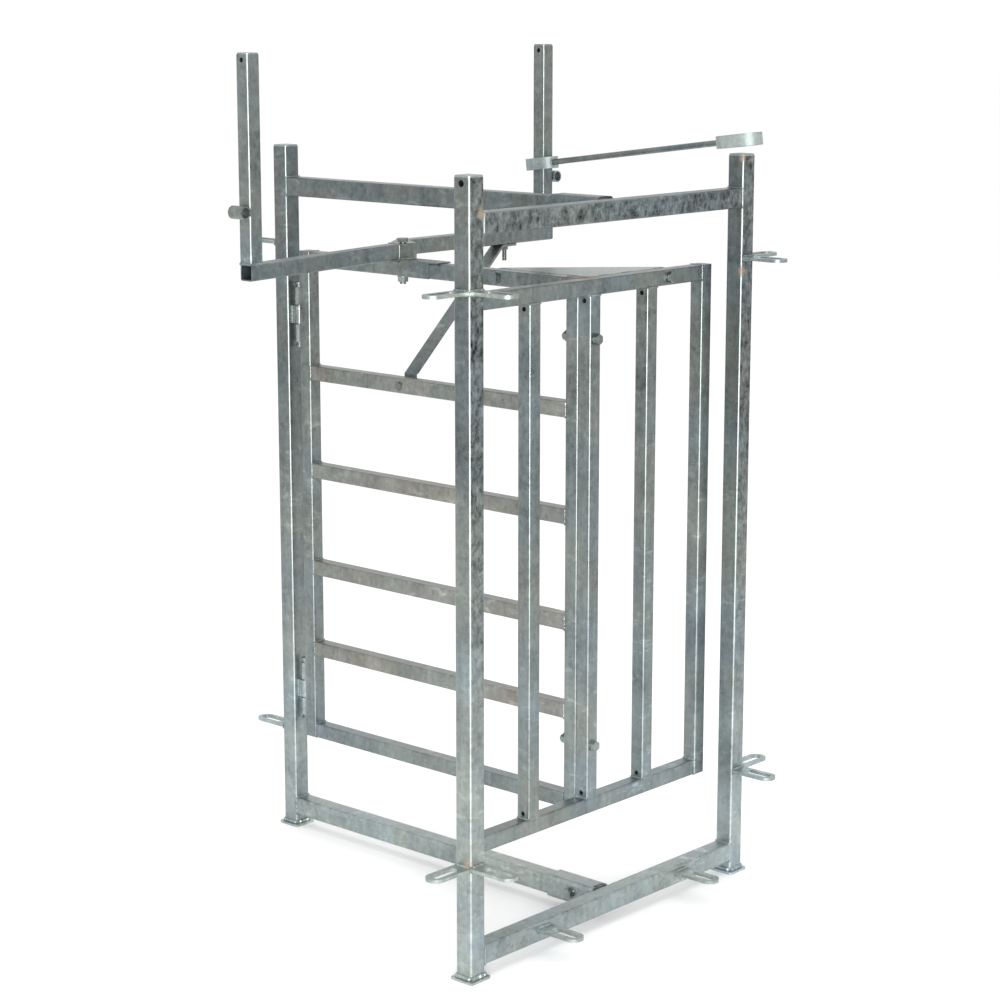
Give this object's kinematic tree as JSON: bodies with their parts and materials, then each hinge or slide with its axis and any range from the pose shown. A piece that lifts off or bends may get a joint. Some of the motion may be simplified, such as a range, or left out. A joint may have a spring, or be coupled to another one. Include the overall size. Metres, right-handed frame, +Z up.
{
  "type": "livestock sorting gate",
  "caption": "Galvanised drafting gate for stock: square-tube entry frame and spine, swinging T-shaped barred gate with overhead lever handles, and a lifting ring link that locks it.",
  "frame": {"origin": "centre of the underside of the hinge post's foot plate, on the ground", "axes": "+Z up; -Y towards the entry frame, along the spine rails; +X towards the entry post that carries the locking ring"},
  "size_m": [1.335, 1.4278, 2.169],
  "materials": {
    "galvanised_tube": "hot-dip galvanised, dull grey with faint spangle",
    "galvanised_plate": "hot-dip galvanised, slightly brighter, with runs at welds",
    "bright_zinc": "bright zinc plated"
  },
  "bodies": {
    "frame": {"hinge_post": "galvanised_tube", "left_entry_post": "galvanised_tube", "right_entry_post": "galvanised_tube", "post_caps": "galvanised_plate", "hinge_post_foot": "galvanised_plate", "left_entry_post_foot": "galvanised_plate", "right_entry_post_foot": "galvanised_plate", "entry_top_rail": "galvanised_tube", "entry_bottom_rail": "galvanised_tube", "spine_top_rail": "galvanised_tube", "spine_bottom_rail": "galvanised_tube", "top_socket": "galvanised_tube", "bottom_socket": "galvanised_tube", "hinge_post_lugs": "galvanised_plate", "entry_side_lugs": "galvanised_plate", "entry_front_lugs": "galvanised_plate", "rail_lugs": "galvanised_plate", "socket_bolts": "bright_zinc", "socket_nuts": "bright_zinc", "socket_washers": "bright_zinc", "post_hinge_knuckles": "galvanised_plate"},
    "gate": {"gate_hinge_knuckles": "galvanised_plate", "hinge_pins": "bright_zinc", "hinge_stile": "galvanised_tube", "meeting_stile": "galvanised_tube", "ladder_top_rail": "galvanised_tube", "ladder_rail_2": "galvanised_tube", "ladder_rail_3": "galvanised_tube", "ladder_rail_4": "galvanised_tube", "ladder_rail_5": "galvanised_tube", "ladder_bottom_rail": "galvanised_tube", "panel_left_stile": "galvanised_tube", "panel_right_stile": "galvanised_tube", "panel_left_bar": "galvanised_tube", "panel_middle_bar": "galvanised_tube", "panel_right_bar": "galvanised_tube", "panel_top_rail": "galvanised_tube", "panel_bottom_rail": "galvanised_tube", "corner_gusset": "galvanised_plate", "panel_bolts": "bright_zinc", "panel_washers": "bright_zinc", "panel_nuts": "bright_zinc", "lever_left_arm": "galvanised_tube", "lever_right_arm": "galvanised_tube", "lever_block": "galvanised_plate", "lever_saddle": "galvanised_plate", "lever_bolt": "bright_zinc", "lever_nut": "bright_zinc", "left_handle": "galvanised_tube", "right_handle": "galvanised_tube", "handle_caps": "galvanised_plate", "left_stop_stub": "galvanised_plate", "right_stop_stub": "galvanised_plate", "brace_strap": "galvanised_plate", "brace_bolts": "bright_zinc", "brace_nuts": "bright_zinc"},
    "link": {"link_rod": "bright_zinc", "handle_ring": "bright_zinc", "post_ring": "bright_zinc"}
  },
  "joints": [
    {"name": "gate_swing", "type": "hinge", "parent": "frame", "child": "gate", "pos_m": [0, -0.044, 0.9], "axis": [0, 0, 1], "range_deg": [-30, 30]},
    {"name": "link_lift", "type": "hinge", "parent": "gate", "child": "link", "pos_m": [0.625, -0.3495, 1.822], "axis": [-1, 0, 0], "range_deg": [-7.26, 14.5]}
  ]
}
